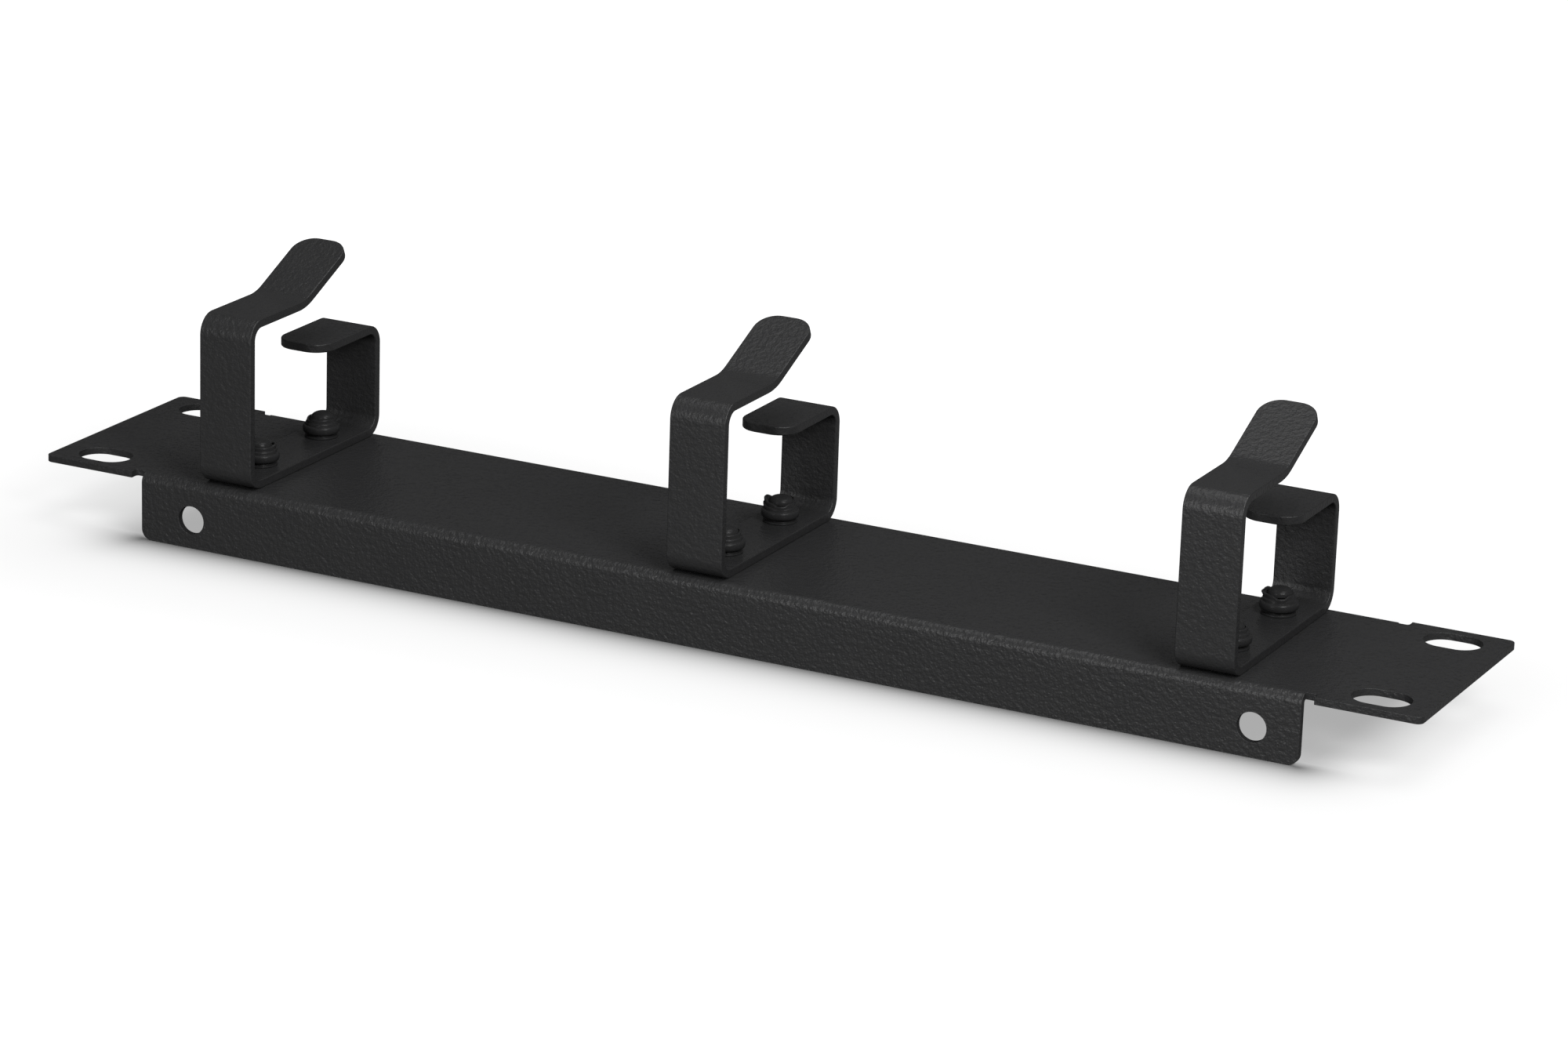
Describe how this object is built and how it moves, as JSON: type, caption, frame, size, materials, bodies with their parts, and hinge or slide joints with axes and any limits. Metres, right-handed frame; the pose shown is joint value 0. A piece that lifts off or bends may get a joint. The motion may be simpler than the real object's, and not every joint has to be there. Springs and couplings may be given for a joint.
{
  "type": "horizontal cable manager",
  "caption": "Half-width rack cable manager: a folded panel with slotted ears carries open strip rings, riveted on, that guide cables along its face.",
  "frame": {"origin": "centre of the four rack slots, on the panel's under (mounting) face", "axes": "+X along the panel, +Z out of the panel's face towards the rings, -Y the side of the rings' tall walls (front in the picture)"},
  "size_m": [0.254, 0.043, 0.0488],
  "materials": {
    "panel_coat": "black fine-texture powder coat on steel sheet",
    "ring_coat": "black fine-texture powder coat on steel strip",
    "rivet_coat": "steel blind rivet, powder coated black with the rest"
  },
  "bodies": {
    "root": {"panel": "panel_coat", "ring_left": "ring_coat", "ring_middle": "ring_coat", "ring_right": "ring_coat", "rivet_left_front": "rivet_coat", "rivet_left_rear": "rivet_coat", "rivet_middle_front": "rivet_coat", "rivet_middle_rear": "rivet_coat", "rivet_right_front": "rivet_coat", "rivet_right_rear": "rivet_coat", "mandrel_left_front": "rivet_coat", "mandrel_left_rear": "rivet_coat", "mandrel_middle_front": "rivet_coat", "mandrel_middle_rear": "rivet_coat", "mandrel_right_front": "rivet_coat", "mandrel_right_rear": "rivet_coat"}
  },
  "joints": []
}
